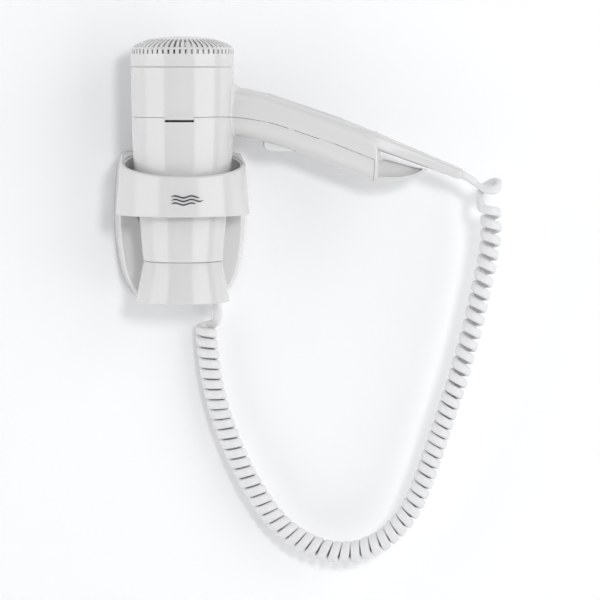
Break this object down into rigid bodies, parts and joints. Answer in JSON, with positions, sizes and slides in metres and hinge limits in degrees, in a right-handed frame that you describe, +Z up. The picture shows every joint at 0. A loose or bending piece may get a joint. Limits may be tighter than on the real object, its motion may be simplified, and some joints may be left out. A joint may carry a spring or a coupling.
{
  "type": "wall-mounted hair dryer",
  "caption": "Hair dryer that stands nozzle down in a wall holder, with a slotted inlet cap, a drooping handle with a hanging hook, and a curly cord that hangs in a loop.",
  "frame": {"origin": "middle of the wall plate's rear face, which lies on the wall; the barrel's axis stands 56 mm in front of it", "axes": "+Y into the wall, +Z up along the barrel's axis, +X towards the handle"},
  "size_m": [0.3032, 0.1082, 0.4173],
  "materials": {
    "shell": "gloss moulded ABS, warm white",
    "control": "satin moulded ABS, warm white",
    "white_fitting": "natural nylon",
    "grey_plate": "moulded grey ABS",
    "filter": "nylon gauze in a moulded rim",
    "black_fitting": "glass-filled nylon",
    "grille": "heat-resistant black plastic",
    "cord": "soft PVC jacket, satin",
    "gland": "soft PVC, satin",
    "mica": "pressed mica sheet",
    "heating_wire": "oxidised nichrome",
    "board": "solder mask",
    "steel": "zinc-plated steel"
  },
  "bodies": {
    "holder": {"holder_body": "shell", "wall_plate": "grey_plate", "wall_screw_upper_left": "steel", "wall_screw_upper_right": "steel", "wall_screw_lower_left": "steel", "wall_screw_lower_right": "steel", "lock_screw": "steel", "terminal_block": "white_fitting", "terminal_screw_line": "steel", "terminal_screw_spare": "steel", "terminal_screw_neutral": "steel", "cord_gland": "gland", "cord_in_holder": "cord", "cord_coil": "cord", "cord_lead_holder": "cord"},
    "dryer": {"rear_shell": "shell", "front_shell": "shell", "shell_screw_root": "steel", "shell_screw_end": "steel", "inlet_cap": "shell", "inlet_filter": "filter", "fan_duct": "black_fitting", "motor": "steel", "rectifier_board": "board", "heater_board_a": "mica", "heater_board_b": "mica", "heater_coil": "heating_wire", "mica_sleeve": "mica", "thermostat": "steel", "thermal_fuse": "steel", "outlet_grille": "grille", "bar_spring_near": "steel", "bar_spring_far": "steel", "switch_carrier": "black_fitting", "run_switch": "black_fitting", "level_switch": "black_fitting", "lever_pin": "steel", "cord_clamp": "white_fitting", "clamp_screw_left": "steel", "clamp_screw_right": "steel", "cord_in_arm": "cord", "bend_relief": "gland", "cord_lead_dryer": "cord"},
    "fan": {"motor_shaft": "steel", "fan_impeller": "black_fitting"},
    "bar": {"press_bar": "control"},
    "lever": {"level_lever": "control"}
  },
  "joints": [
    {"name": "dryer_lift", "type": "slide", "parent": "holder", "child": "dryer", "axis": [0, 0, 1], "range_m": [0, 0.11]},
    {"name": "fan_spin", "type": "hinge", "parent": "dryer", "child": "fan", "pos_m": [0, -0.056, 0.1], "axis": [0, 0, 1], "continuous": true},
    {"name": "bar_press", "type": "slide", "parent": "dryer", "child": "bar", "axis": [-0.3218, 0, -0.9468], "range_m": [0, 0.0025], "stiffness_N_per_m": 700, "springref_m": -0.0017, "deforming": ["bar_spring_near", "bar_spring_far"]},
    {"name": "lever_tilt", "type": "hinge", "parent": "dryer", "child": "lever", "pos_m": [0.088, -0.056, 0.06046], "axis": [0, 1, 0], "range_deg": [0, 10]}
  ]
}
